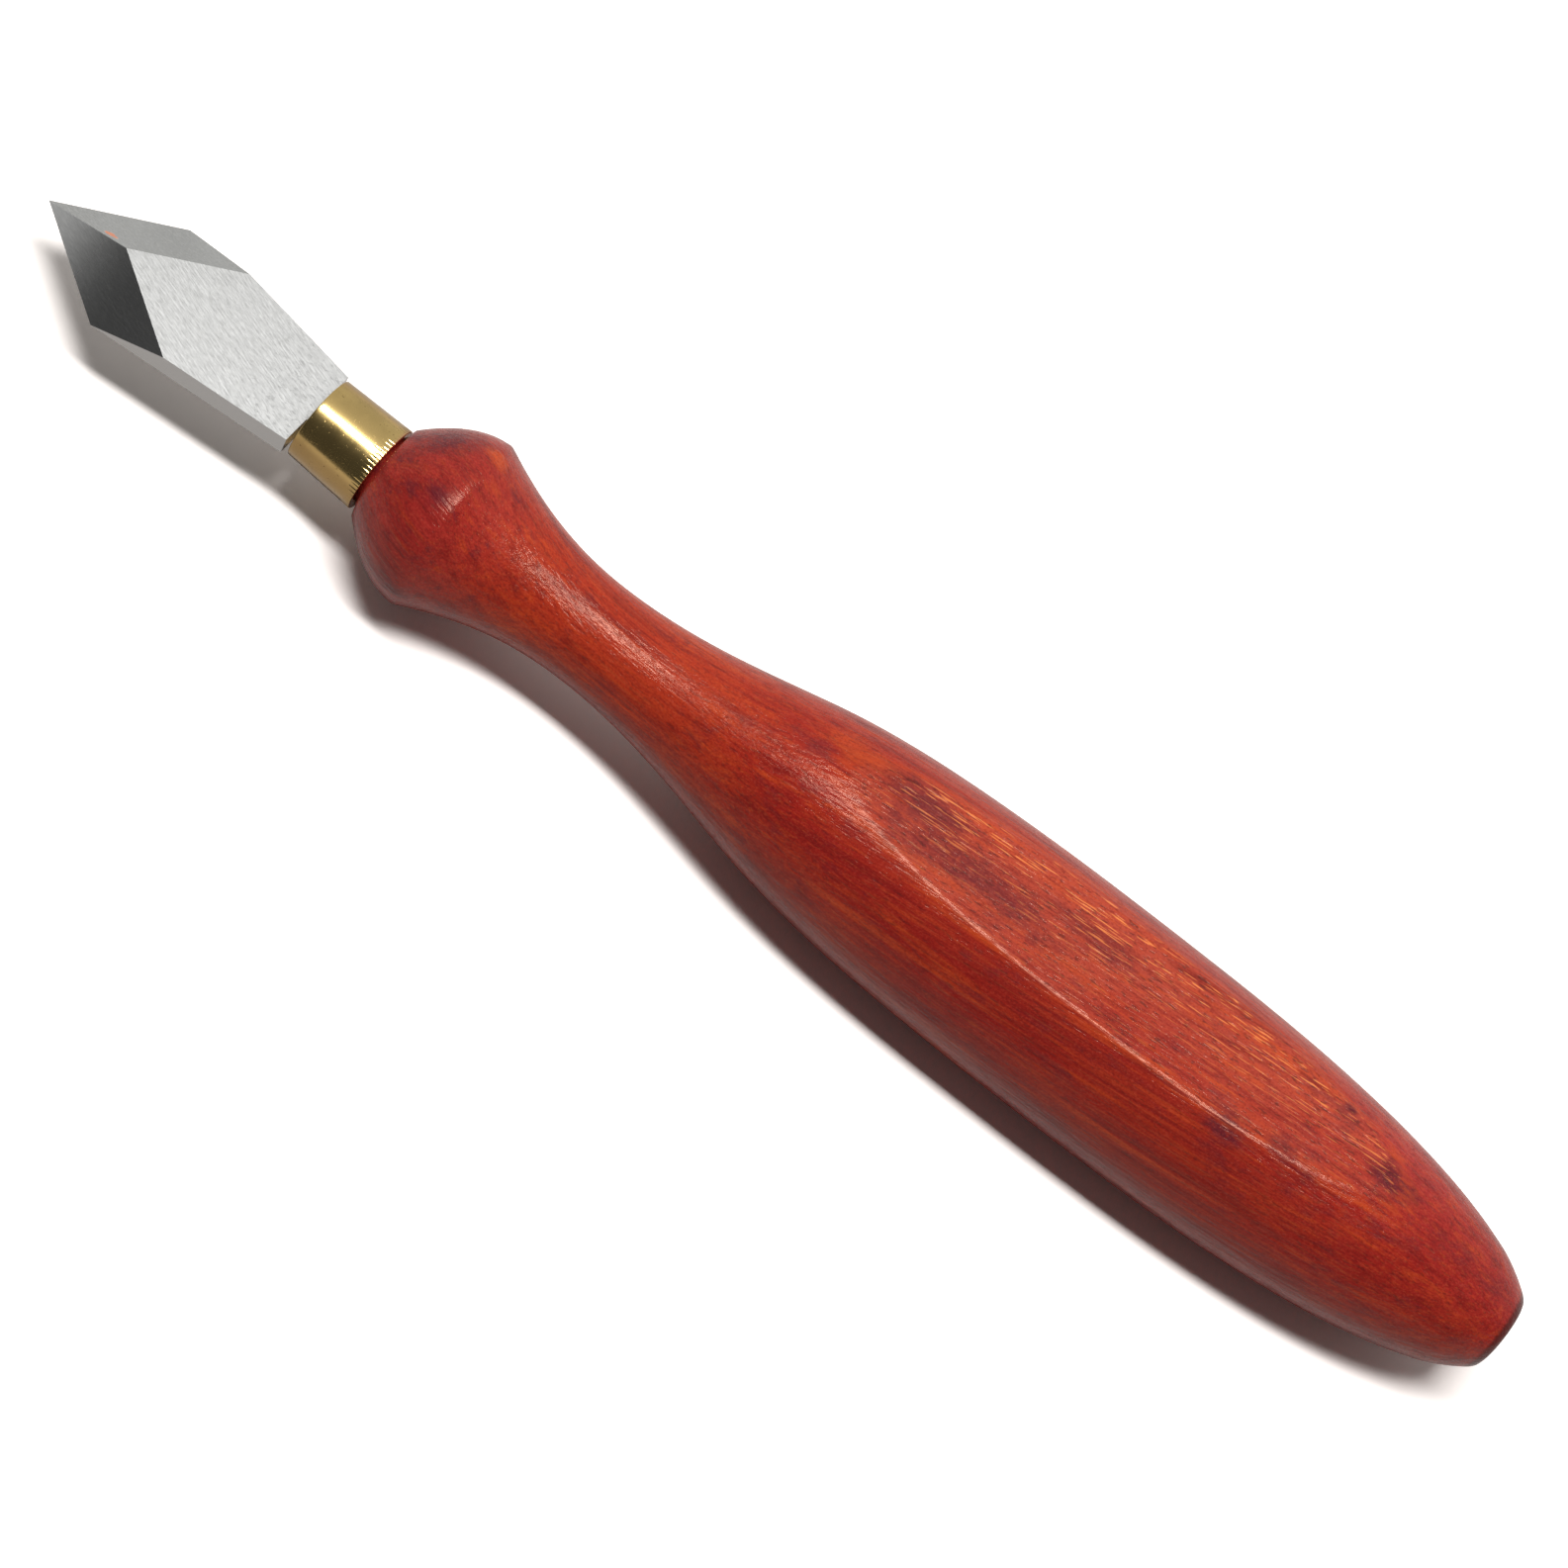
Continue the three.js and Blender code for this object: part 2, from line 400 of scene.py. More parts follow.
def softened(points):
    """The outline with its corners worn round. Its ends stay."""
    middle = [(points[i - 1] + 2 * points[i] + points[i + 1]) / 4 for i in range(1, len(points) - 1)]
    return [points[0]] + middle + [points[-1]]


def ring_angles(crease):
    """Angles round the handle, closer together beside the four edges of the flats."""
    quarter = []
    inner = crease - CREASE_SPREAD
    outer = crease + CREASE_SPREAD
    quarter += [inner * i / FLAT_STEPS for i in range(FLAT_STEPS)]
    quarter += [inner + (outer - inner) * i / CREASE_STEPS for i in range(CREASE_STEPS)]
    quarter += [outer + (math.pi / 2 - outer) * i / SIDE_STEPS for i in range(SIDE_STEPS)]
    half = quarter + [math.pi / 2] + [math.pi - a for a in reversed(quarter[1:])]
    return half + [a + math.pi for a in half]


def soft_least(a, b, softness):
    """The lesser of two lengths, blended where they are nearly equal."""
    overlap = max(softness - abs(a - b), 0) / softness
    return min(a, b) - overlap * overlap * softness / 4


def skin_radius(x, radius, turn, sizes):
    """The worn surface's distance from the axis at one place and turn from the top."""
    cosine = math.cos(turn)
    sine = math.sin(turn)
    flat = AXIS_HEIGHT / max(abs(cosine), MM)
    swell = noise.noise(Vector((x / SWELL_RUN, cosine * SWELL_TURN, sine * SWELL_TURN)))
    ripple = noise.noise(Vector((x / RIPPLE_RUN, cosine * RIPPLE_TURN, sine * RIPPLE_TURN)))
    worn = sizes.skin_clearance * (0.5 * swell + 0.5 * ripple - 1)
    return soft_least(radius, flat, sizes.crease_softness) + worn * min(1, radius / FADE_RADIUS)


def skin_rings(sizes):
    """Rings of the handle's outside, from collar to butt."""
    outline = softened(curve_through(frame_outline(), sizes.skin_step))
    rings = []
    for x, radius in outline[:-1]:
        crease = math.acos(min(1, AXIS_HEIGHT / max(radius, AXIS_HEIGHT)))
        ring = []
        for turn in ring_angles(max(crease, LEAST_CREASE)):
            r = skin_radius(x, radius, turn, sizes)
            ring.append((x, -r * math.sin(turn), AXIS_HEIGHT + r * math.cos(turn)))
        rings.append(ring)
    rings.append([(outline[-1][0], 0, AXIS_HEIGHT)])
    return rings


def socket_rings():
    """Rings of the blind bore, the tenon's end and the collar's face, on the ferrule's line."""
    bore = (GLUE_HIGH.z - GLUE_LOW.z) / 2 + BORE_GAP
    tenon = FERRULE_BORE - BORE_GAP
    line = set_line()
    turns = ring_angles(LEAST_CREASE)
    rings = [[tuple(line @ Vector((BORE_BACK, 0, 0)))]]
    for x, r in ((BORE_BACK, bore), (TENON_FRONT, bore), (TENON_FRONT, tenon), (BORE_GAP, tenon)):
        rings.append([tuple(line @ Vector((x, -r * math.sin(a), r * math.cos(a)))) for a in turns])
    return rings


# ---------------------------------------------------------------------------
# Finishes
# ---------------------------------------------------------------------------

COLOUR_A = 6  # sockets of a Mix node that mixes colours
COLOUR_B = 7
COLOUR_OUT = 2
SPOT_FADE = (1.0, 0.2)  # of a spot's reach


class Level:
    """A value in a finish's node tree. Sums written with it become Math nodes."""

    def __init__(self, finish, socket):
        self.finish = finish
        self.socket = socket

    def maths(self, operation, *values):
        """The outcome of one Math node."""
        made = self.finish.node("ShaderNodeMath", {"operation": operation}, dict(enumerate(values)))
        return Level(self.finish, made.outputs[0])

    def __add__(self, other):
        return self.maths("ADD", self, other)

    __radd__ = __add__

    def __sub__(self, other):
        return self.maths("SUBTRACT", self, other)

    def __rsub__(self, other):
        return self.maths("SUBTRACT", other, self)

    def __mul__(self, other):
        return self.maths("MULTIPLY", self, other)

    __rmul__ = __mul__

    def least(self, other):
        """The lesser of two levels."""
        return self.maths("MINIMUM", self, other)

    def most(self, other):
        """The greater of two levels."""
        return self.maths("MAXIMUM", self, other)

    def size(self):
        """This level without its sign."""
        return self.maths("ABSOLUTE", self)

    def between(self, low, high, start=0.0, end=1.0):
        """This value's smooth rise from low to high, as start to end."""
        settings = {"interpolation_type": "SMOOTHSTEP", "clamp": True}
        values = {"Value": self, "From Min": low, "From Max": high, "To Min": start, "To Max": end}
        made = self.finish.node("ShaderNodeMapRange", settings, values)
        return Level(self.finish, made.outputs["Result"])


class Bench:
    """A node tree in the making."""

    def __init__(self, tree, coordinates):
        self.tree = tree
        self.tree.nodes.clear()
        self.place = self.node("ShaderNodeTexCoord").outputs[coordinates]

    def node(self, kind, settings=None, values=None):
        """Add a node: its type, its settings, then its sockets' values or links."""
        made = self.tree.nodes.new(kind)
        for key, setting in (settings or {}).items():
            setattr(made, key, setting)
        for key, value in (values or {}).items():
            self.feed(made.inputs[key], value)
        return made

    def feed(self, socket, value):
        """Link a socket to another, or set its own value."""
        if isinstance(value, Level):
            value = value.socket
        if isinstance(value, bpy.types.NodeSocket):
            self.tree.links.new(value, socket)
        elif socket.type == "RGBA":
            socket.default_value = (*value, 1)
        else:
            socket.default_value = value

    def parts(self, vector):
        """A place or direction as three levels."""
        made = self.node("ShaderNodeSeparateXYZ", None, {"Vector": vector})
        return [Level(self, socket) for socket in made.outputs]

    def joined(self, x, y, z):
        """Three levels as one place."""
        return self.node("ShaderNodeCombineXYZ", None, {"X": x, "Y": y, "Z": z}).outputs[0]

    def grain(self, scale, detail=2.0, roughness=0.5, distortion=0.0):
        """Noise from 0 to 1 with the given number of features per metre along each axis."""
        place = self.node("ShaderNodeMapping", None, {"Vector": self.place, "Scale": scale}).outputs[0]
        values = {
            "Vector": place, "Scale": 1.0, "Detail": detail, "Roughness": roughness,
            "Distortion": distortion,
        }
        return Level(self, self.node("ShaderNodeTexNoise", None, values).outputs["Fac"])

    def spot(self, centre, reach, wander):
        """1 at a spot's centre, falling to 0 near its reach along each axis, give or take a wander."""
        values = {"Vector": self.place, "Location": [-c / r for c, r in zip(centre, reach)]}
        values["Scale"] = [1 / r for r in reach]
        local = self.node("ShaderNodeMapping", None, values).outputs[0]
        distance = self.node("ShaderNodeVectorMath", {"operation": "LENGTH"}, {0: local})
        ragged = Level(self, distance.outputs["Value"]) + wander
        return ragged.between(*SPOT_FADE)

    def mixed(self, share, a, b):
        """Colour a turning into b."""
        settings = {"data_type": "RGBA", "blend_type": "MIX", "clamp_factor": True}
        made = self.node("ShaderNodeMix", settings, {"Factor": share, COLOUR_A: a, COLOUR_B: b})
        return made.outputs[COLOUR_OUT]

    def layered(self, base, layers):
        """A base colour under layers, each a share and a colour."""
        for share, rgb in layers:
            base = self.mixed(share, base, rgb)
        return base

    def bump(self, height, distance, normal=None):
        """Let a height, in units of the given distance, shade the surface."""
        values = {"Height": height, "Strength": 1.0, "Distance": distance}
        if normal is not None:
            values["Normal"] = normal
        return self.node("ShaderNodeBump", None, values).outputs[0]

    def end(self, kind, lit, shown):
        """Finish with one shader that lights the tool and another that the camera sees."""
        seen = self.node("ShaderNodeLightPath").outputs["Is Camera Ray"]
        values = {0: seen, 1: lit.outputs[0], 2: shown.outputs[0]}
        both = self.node("ShaderNodeMixShader", None, values)
        self.node(kind, None, {"Surface": both.outputs[0]})


class Finish(Bench):
    """A material in the making."""

    def __init__(self, name):
        self.material = bpy.data.materials.new(name)
        self.material.use_nodes = True
        super().__init__(self.material.node_tree, "Object")
        self.surface = self.node("ShaderNodeBsdfPrincipled")
        self.node("ShaderNodeOutputMaterial", None, {"Surface": self.surface.outputs[0]})

    def set(self, **values):
        """Set or link the surface's sockets, with _ for the space in a name."""
        for key, value in values.items():
            self.feed(self.surface.inputs[key.replace("_", " ")], value)


def shaded(rgb, share):
    """A colour made darker, or lighter where the share is over 1."""
    return [share * c for c in rgb]


# Each grain below is its features per metre along, across and up.
SCRATCH_GRAIN = (900, 9000, 9000)
SCORE_GRAIN = (380, 5200, 5200)
STEEL_CLOUDS = (90, 130, 130)
STEEL_FLECKS = (1500, 3200, 3200)
GRIND_SLANT = -0.35
RUST_PLACE = (-87.4 * MM, 2.3 * MM, 12.0 * MM)
RUST_REACH = (1.1 * MM, 0.38 * MM, 2.0 * MM)
RUST_EDGE = (2500, 2500, 2500)
BY_FERRULE = (-72 * MM, -58 * MM)
ROUGH_RUN = (BLADE_LOW.x, BLADE_LOW.x + 14 * MM)
ROUGH_RUN_ROUGHNESS = (0.36, 0.08)
GROUND_ROUGHNESS = (0.30, 0.46)
HONED_ROUGHNESS = 0.06
RUST_ROUGHNESS = 0.8
STEEL_RELIEF = 0.010 * MM
# Each span below runs from the level where a mark begins to the level where it is whole.
DULL_CLOUDS = (0.3, 0.7)
LIGHT_SCORES = (0.48, 0.36)
DARK_SCORES = (0.54, 0.66)
DARK_SCRATCHES = (0.56, 0.70)
BEVEL_SCRATCHES = (0.46, 0.70)
BEVEL_SCORES = (0.50, 0.36)
DARK_FLECKS = (0.53, 0.64)
RUST_COLOURED = (0.10, 0.35)
RUST_CRUSTED = (0.40, 0.75)
GROUND_SPAN = (0.25, 0.75)
FACING_UP = (0.93, 0.985)
FACING_SIDEWAYS = (0.5, 0.2)
FACING_RIGHT = (0.1, -0.1)


def steel_finish():
    """Tool steel, ground slantwise along the blade, with one speck of rust by its ridge."""
    colours = bpy.context.scene.knife_colours
    finish = Finish("ground steel")
    x, y, z = finish.parts(finish.place)
    finish.place = finish.joined(x + y * GRIND_SLANT, y - x * GRIND_SLANT, z)
    fine = finish.grain(SCRATCH_GRAIN, detail=3, roughness=0.7)
    coarse = finish.grain(SCORE_GRAIN, detail=3, roughness=0.65)
    cloud = finish.grain(STEEL_CLOUDS, detail=3)
    finish.place = finish.joined(x, y, z)
    flecks = finish.grain(STEEL_FLECKS, detail=3, roughness=0.7).between(*DARK_FLECKS)
    ragged = finish.grain(RUST_EDGE, detail=3) * 0.9 - 0.45
    speck = finish.spot(RUST_PLACE, RUST_REACH, ragged)
    rusty = speck.between(*RUST_COLOURED)
    crusted = speck.between(*RUST_CRUSTED)

    _, facing_left, facing_up = finish.parts(finish.node("ShaderNodeTexCoord").outputs["Normal"])
    on_top = facing_up.size().between(*FACING_UP)
    on_side = facing_up.size().between(*FACING_SIDEWAYS)
    on_bevel = (1.0 - on_top) * (1.0 - on_side)
    on_right = facing_left.between(*FACING_RIGHT)
    by_ferrule = x.between(*BY_FERRULE)

    steel = colours.steel
    layers = (
        (cloud.between(*DULL_CLOUDS), shaded(steel, 0.9)),
        (on_top, shaded(steel, 0.85)),
        (coarse.between(*LIGHT_SCORES) * 0.5 * on_top, shaded(steel, 1.12)),
        (coarse.between(*DARK_SCORES) * 0.50 * on_top, shaded(steel, 0.62)),
        (fine.between(*DARK_SCRATCHES) * 0.55 * on_top, shaded(steel, 0.68)),
        (flecks * (by_ferrule * 0.6 + 0.12) * on_top, shaded(steel, 0.5)),
        (fine.between(*BEVEL_SCRATCHES) * 0.50 * on_bevel, shaded(steel, 0.66)),
        (coarse.between(*BEVEL_SCORES) * 0.60 * on_bevel, shaded(steel, 1.12)),
        # Painted shade: the blade's sides, which face down towards the table, are darkened to stand in for
        # their dim reflection.
        (on_side, shaded(steel, 0.62)),
        (rusty, colours.rust),
    )
    ground = fine.between(*GROUND_SPAN, *GROUND_ROUGHNESS)
    honed = HONED_ROUGHNESS + cloud * 0.015 + on_right * x.between(*ROUGH_RUN, *ROUGH_RUN_ROUGHNESS)
    finish.set(
        Base_Color=finish.layered(steel, layers),
        Metallic=1.0 - rusty,
        Roughness=ground * on_top + honed * (1.0 - on_top) + crusted * RUST_ROUGHNESS,
        Normal=finish.bump((fine * 0.5 + coarse * 0.9) * (on_top * 0.9 + 0.1), STEEL_RELIEF),
    )
    return finish.material


TARNISH_GRAIN = (350, 350, 350)
DRAW_LINES = (180, 5200, 5200)
PIT_GRAIN = (3800, 3800, 3800)
COPPER = (0.72, 0.36, 0.20)
PIT_BROWN = (0.16, 0.10, 0.04)
PAINTED_SHADE_BROWN = (0.22, 0.13, 0.055)
BACK_RIM = (FERRULE_HIGH.x - 0.6 * MM, FERRULE_HIGH.x - 0.2 * MM)
# Painted shade on the brass: low down and on the left its colour is darkened to dull its reflection.
LOW_DOWN = (3.2 * MM, 1.4 * MM)  # above the axis
ON_THE_LEFT = (2.2 * MM, 3.9 * MM)
TARNISHED = (0.4, 0.7)
PITTED = (0.68, 0.74)
TARNISH_SPAN = (0.3, 0.75)
BRASS_ROUGHNESS = (0.17, 0.24)
BRASS_RELIEF = 0.003 * MM


def brass_finish():
    """Drawn brass, polished, with draw lines, fine pits and patchy tarnish, and with painted shade low down
    and on the left.
    """
    colours = bpy.context.scene.knife_colours
    finish = Finish("polished brass")
    x, y, z = finish.parts(finish.place)
    tarnish = finish.grain(TARNISH_GRAIN, detail=5, roughness=0.6)
    lines = finish.grain(DRAW_LINES, detail=3)
    pits = finish.grain(PIT_GRAIN, detail=1).between(*PITTED)
    rim = x.between(*BACK_RIM)
    below = (z - AXIS_HEIGHT).between(*LOW_DOWN)
    beyond = y.between(*ON_THE_LEFT)
    layers = (
        (tarnish.between(*TARNISHED) * 0.5, shaded(colours.brass, 0.72)),
        (pits * 0.7, PIT_BROWN),
        (rim * 0.6, COPPER),
        # Painted shade: darker low down and on the left, where the table's reflection is dimmer.
        ((below * 0.72).most(beyond * 0.62), PAINTED_SHADE_BROWN),
    )
    finish.set(
        Base_Color=finish.layered(colours.brass, layers),
        Metallic=1.0,
        Roughness=tarnish.between(*TARNISH_SPAN, *BRASS_ROUGHNESS) + pits * 0.3 + rim * 0.06,
        Normal=finish.bump(lines * 0.5 - pits, BRASS_RELIEF),
    )
    return finish.material


class Blemish(typing.NamedTuple):
    """A mark on the top of the handle, in millimetres from the tool's middle and axis"""

    along: float
    across: float
    up: float
    length: float
    width: float
    strength: float


DARK_MARKS = (
    Blemish(along=58.4, across=-6.2, up=10.6, length=3.6, width=2.6, strength=0.95),
    Blemish(along=64.1, across=-4.6, up=10.7, length=3.2, width=1.6, strength=0.60),
    Blemish(along=74.8, across=0.5, up=10.2, length=4.2, width=3.0, strength=0.95),
    Blemish(along=67.4, across=4.2, up=10.7, length=1.5, width=0.9, strength=1.0),
    Blemish(along=22.0, across=-1.0, up=10.7, length=16.0, width=3.6, strength=0.70),
    Blemish(along=14.5, across=2.0, up=10.7, length=9.0, width=2.6, strength=0.60),
    Blemish(along=36.0, across=1.5, up=10.7, length=8.0, width=2.4, strength=0.35),
    Blemish(along=-46.4, across=3.6, up=8.4, length=4.8, width=3.6, strength=0.90),
    Blemish(along=-43.5, across=-3.2, up=9.4, length=2.6, width=2.2, strength=0.45),
)
LIGHT_MARKS = (
    Blemish(along=-41.3, across=4.2, up=8.8, length=2.0, width=1.6, strength=0.8),
    Blemish(along=6.5, across=2.5, up=10.4, length=7.0, width=2.6, strength=0.45),
)
MARK_DEPTH = 4 * MM
MARK_EDGE = (260, 520, 520)


def marks(finish, blemishes, wander):
    """The strongest of the marks at each place on the wood."""
    strongest = None
    for mark in blemishes:
        centre = (mark.along * MM, mark.across * MM, AXIS_HEIGHT + mark.up * MM)
        reach = (mark.length * MM, mark.width * MM, MARK_DEPTH)
        shade = finish.spot(centre, reach, wander) * mark.strength
        strongest = shade if strongest is None else strongest.most(shade)
    return strongest


WOOD_CLOUDS = (30, 130, 130)
PATCH_GRAIN = (170, 420, 420)
FIBRE_GRAIN = (75, 2300, 2300)
BAND_GRAIN = (22, 700, 700)
THREAD_GRAIN = (20, 5400, 5400)
RIDGE_GRAIN = (240, 1500, 1500)
PORE_GRAIN = (850, 3800, 3800)
FLECK_GRAIN = (1700, 2900, 2900)
SPECK_GRAIN = (3600, 5200, 5200)
GRAIN_SLANT = 0.07  # run-out of the grain across and up, for each unit along
GRAIN_RISE = 0.06
GRAIN_CURL = 4.5
# Stretches of the handle: where each begins, and where it is fully reached.
BULB = (-30 * MM, -38 * MM)
BULB_END = (-34 * MM, -44 * MM)
NECK_FRONT = (-44 * MM, -34 * MM)
NECK_BACK = (4 * MM, -10 * MM)
BUTT = (58 * MM, 76 * MM)
BUTT_TOP = (-6 * MM, 2 * MM)
BUTT_END = (74 * MM, 88 * MM)
# Partly end grain that takes more stain, partly painted shade on the end that turns away from the light.
END_GRAIN_AND_SHADE = (HANDLE_HIGH.x - 1.7 * MM, HANDLE_HIGH.x - 1.1 * MM)
# Painted light and shade across the handle: lighter towards the left, darker towards the right.
LIT_LEFT_SIDE = (0.0, 7 * MM)
# Painted shade: the handle's right side is darkened where less light reaches it.
SHADED_RIGHT_SIDE = (-3.5 * MM, -9 * MM)
FAR_SIDE = (-3 * MM, 4.5 * MM)
ON_FLAT = (AXIS_HEIGHT - 0.30 * MM, AXIS_HEIGHT - 0.08 * MM)
BY_FLAT = (AXIS_HEIGHT - 0.75 * MM, AXIS_HEIGHT - 0.30 * MM)
EDGE_OUTSIDE = (AXIS_HEIGHT - 0.17 * MM, AXIS_HEIGHT - 0.12 * MM)
EDGE_INSIDE = (AXIS_HEIGHT - 0.07 * MM, AXIS_HEIGHT - 0.10 * MM)
EDGE_FRONT = (12 * MM, 24 * MM)
EDGE_BACK = (70 * MM, 56 * MM)
EDGE_RIGHT = (1 * MM, -1 * MM)
# Spans of the grains: the level where a mark begins, and the level where it is whole.
BRICK_CLOUDS = (0.38, 0.62)
THIN_CLOUDS = (0.30, 0.60)
AMBER_BANDS = (0.52, 0.70)
DARK_BANDS = (0.48, 0.34)
PALE_FIBRES = (0.52, 0.74)
DARK_FIBRES = (0.48, 0.28)
DARK_ENDS = (0.30, 0.60)
STAIN_POOLS = (0.52, 0.68)
MARK_FLECKS = (0.30, 0.55)
DARK_FLECK_SPAN = (0.55, 0.72)
DARK_SPECKS = (0.50, 0.36)
TAN_SPECKS = (0.52, 0.70)
FILLED_PORES = (0.57, 0.68)
BARE_THREADS = (0.60, 0.68)
PALE_BY_FLAT = (0.35, 0.6)
WORN_RIDGES = (0.40, 0.60)
FIBRE_FURROWS = (0.36, 0.64)
RIDGE_FURROWS = (0.30, 0.70)
PORE_DIPS = (0.55, 0.66)
FLECK_DIPS = (0.35, 0.65)
SHEEN_SPAN = (0.3, 0.7)
PORE_SHEEN = (0.6, 0.7)
COAT_ROUGHNESS = (0.16, 0.27)
COAT_SHINE = 0.29
WOOD_RELIEF = 0.017 * MM
PATCH_RELIEF = 0.04 * MM


def wood_finish():
    """Hardwood under a red stain that pools in its pores, with a thin satin coat."""
    colours = bpy.context.scene.knife_colours
    finish = Finish("red stained wood")
    x, y, z = finish.parts(finish.place)
    wander = finish.grain(MARK_EDGE, detail=4, roughness=0.65) * 1.6 - 0.8
    dark_marks = marks(finish, DARK_MARKS, wander)
    light_marks = marks(finish, LIGHT_MARKS, wander)

    forward = x.least(0.0)
    across = y - x * GRAIN_SLANT - forward * forward * GRAIN_CURL
    finish.place = finish.joined(x, across, z - x * GRAIN_RISE)
    cloud = finish.grain(WOOD_CLOUDS, detail=3, roughness=0.55)
    patch = finish.grain(PATCH_GRAIN, detail=5, roughness=0.7)
    fibre = finish.grain(FIBRE_GRAIN, detail=3, roughness=0.6)
    band = finish.grain(BAND_GRAIN, detail=3, roughness=0.6, distortion=0.3)
    thread = finish.grain(THREAD_GRAIN, detail=1, roughness=0.5)
    ridge = finish.grain(RIDGE_GRAIN, detail=3, roughness=0.6)
    pore = finish.grain(PORE_GRAIN, detail=2, roughness=0.5)
    fleck = finish.grain(FLECK_GRAIN, detail=3, roughness=0.65)
    speck = finish.grain(SPECK_GRAIN, detail=2, roughness=0.6)

    bulb = x.between(*BULB)
    neck = x.between(*NECK_FRONT) * x.between(*NECK_BACK)
    butt = x.between(*BUTT) * y.between(*BUTT_TOP, start=0.1)
    ends = x.between(*BULB_END).most(x.between(*BUTT_END) * 0.5) * 0.45
    lit_left_side = y.between(*LIT_LEFT_SIDE)
    shaded_right_side = y.between(*SHADED_RIGHT_SIDE)
    far_side = y.between(*FAR_SIDE, start=0.10)

    height = (z - AXIS_HEIGHT).size()
    on_flat = height.between(*ON_FLAT)
    by_flat = height.between(*BY_FLAT) * (1.0 - on_flat)
    # Partly wear and partly painted highlight: a thin lighter line along the flats' right-hand edges, where
    # the light glints.
    worn_and_lit_crease = height.between(*EDGE_OUTSIDE) * height.between(*EDGE_INSIDE)
    worn_and_lit_crease = worn_and_lit_crease * x.between(*EDGE_FRONT) * x.between(*EDGE_BACK)
    worn = ridge.between(*WORN_RIDGES, start=0.04, end=0.42) * y.between(*EDGE_RIGHT, start=0.25)

    crimson = (bulb * 0.6).most(butt) * cloud.between(*THIN_CLOUDS, start=0.20, end=0.60)
    streaked = 1.0 - bulb * 0.6
    pale_fibres = fibre.between(*PALE_FIBRES) * (0.35 + on_flat * 0.15) * streaked
    dark_fibres = fibre.between(*DARK_FIBRES) * 0.60 * streaked
    pools = patch.between(*STAIN_POOLS) * (0.45 + bulb * 0.25)
    pores = pore.between(*FILLED_PORES) * (0.35 + on_flat * 0.25)
    threads = thread.between(*BARE_THREADS) * (0.05 + on_flat * far_side * 0.62)
    layers = (
        (cloud.between(*BRICK_CLOUDS), colours.stain_brick),
        # Painted light: the left side is lightened where more light falls.
        (lit_left_side * 0.50, colours.painted_light_left),
        # Painted shade: the right side is darkened where less light reaches it.
        (shaded_right_side * 0.32, colours.dark_grain_and_shade),
        (neck * 0.20, colours.stain_amber),
        (crimson, colours.stain_crimson),
        (on_flat * cloud.between(*THIN_CLOUDS, start=0.15, end=0.50), colours.flat_tan),
        (band.between(*AMBER_BANDS) * 0.40, colours.stain_amber),
        (band.between(*DARK_BANDS) * 0.50, colours.dark_grain_and_shade),
        (pale_fibres, colours.stain_amber),
        (dark_fibres, colours.dark_grain_and_shade),
        (ends * patch.between(*DARK_ENDS), colours.dark_grain_and_shade),
        (pools, colours.stain_plum),
        (light_marks, colours.stain_amber),
        (dark_marks * fleck.between(*MARK_FLECKS, start=0.50), colours.stain_plum),
        (fleck.between(*DARK_FLECK_SPAN) * 0.45, colours.dark_grain_and_shade),
        (speck.between(*DARK_SPECKS) * 0.35, colours.dark_grain_and_shade),
        (speck.between(*TAN_SPECKS) * 0.22, colours.flat_tan),
        (pores, colours.pore),
        (threads, colours.open_grain),
        (by_flat * fibre.between(*PALE_BY_FLAT) * 0.35, colours.stain_amber),
        # Worn stain and painted highlight along the flats' edges.
        (worn_and_lit_crease * worn, colours.worn_edge_and_highlight),
        # End grain holding more stain, and painted shade on the turned-away end.
        (x.between(*END_GRAIN_AND_SHADE) * 0.85, colours.pore),
    )
    furrow = fibre.between(*FIBRE_FURROWS) * 0.8 + ridge.between(*RIDGE_FURROWS) * 1.6
    relief = furrow - pore.between(*PORE_DIPS) * 0.4 + fleck.between(*FLECK_DIPS) * 0.3
    finish.set(
        Base_Color=finish.layered(colours.stain_red, layers),
        Roughness=patch.between(*SHEEN_SPAN, *COAT_ROUGHNESS) + pore.between(*PORE_SHEEN) * 0.15,
        Specular_IOR_Level=COAT_SHINE,
        Specular_Tint=colours.lacquer,
        Normal=finish.bump(relief, WOOD_RELIEF, finish.bump(patch, PATCH_RELIEF)),
    )
    return finish.material


GLUE_CLOUDS = (500, 500, 500)
GLUE_SPAN = (0.3, 0.7)
GLUE_ROUGHNESS = (0.4, 0.6)
GLUE_RELIEF = 0.05 * MM


def glue_finish():
    """Set adhesive, cloudy and dull."""
    colours = bpy.context.scene.knife_colours
    finish = Finish("set adhesive")
    cloud = finish.grain(GLUE_CLOUDS, detail=4)
    finish.set(
        Base_Color=finish.mixed(cloud.between(*GLUE_SPAN), colours.glue, shaded(colours.glue, 0.6)),
        Roughness=cloud.between(*GLUE_SPAN, *GLUE_ROUGHNESS),
        Normal=finish.bump(cloud, GLUE_RELIEF),
    )
    return finish.material


class KNIFE_OT_adhesive(bpy.types.Operator):
    """Give the bed of set adhesive its finish"""

    bl_idname = "knife.adhesive"
    bl_label = "Adhesive"

    def execute(self, context):
        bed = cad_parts["tang_epoxy"]
        bed.data.materials.clear()
        bed.data.materials.append(glue_finish())
        return {"FINISHED"}


# ---------------------------------------------------------------------------
# Stage
# ---------------------------------------------------------------------------


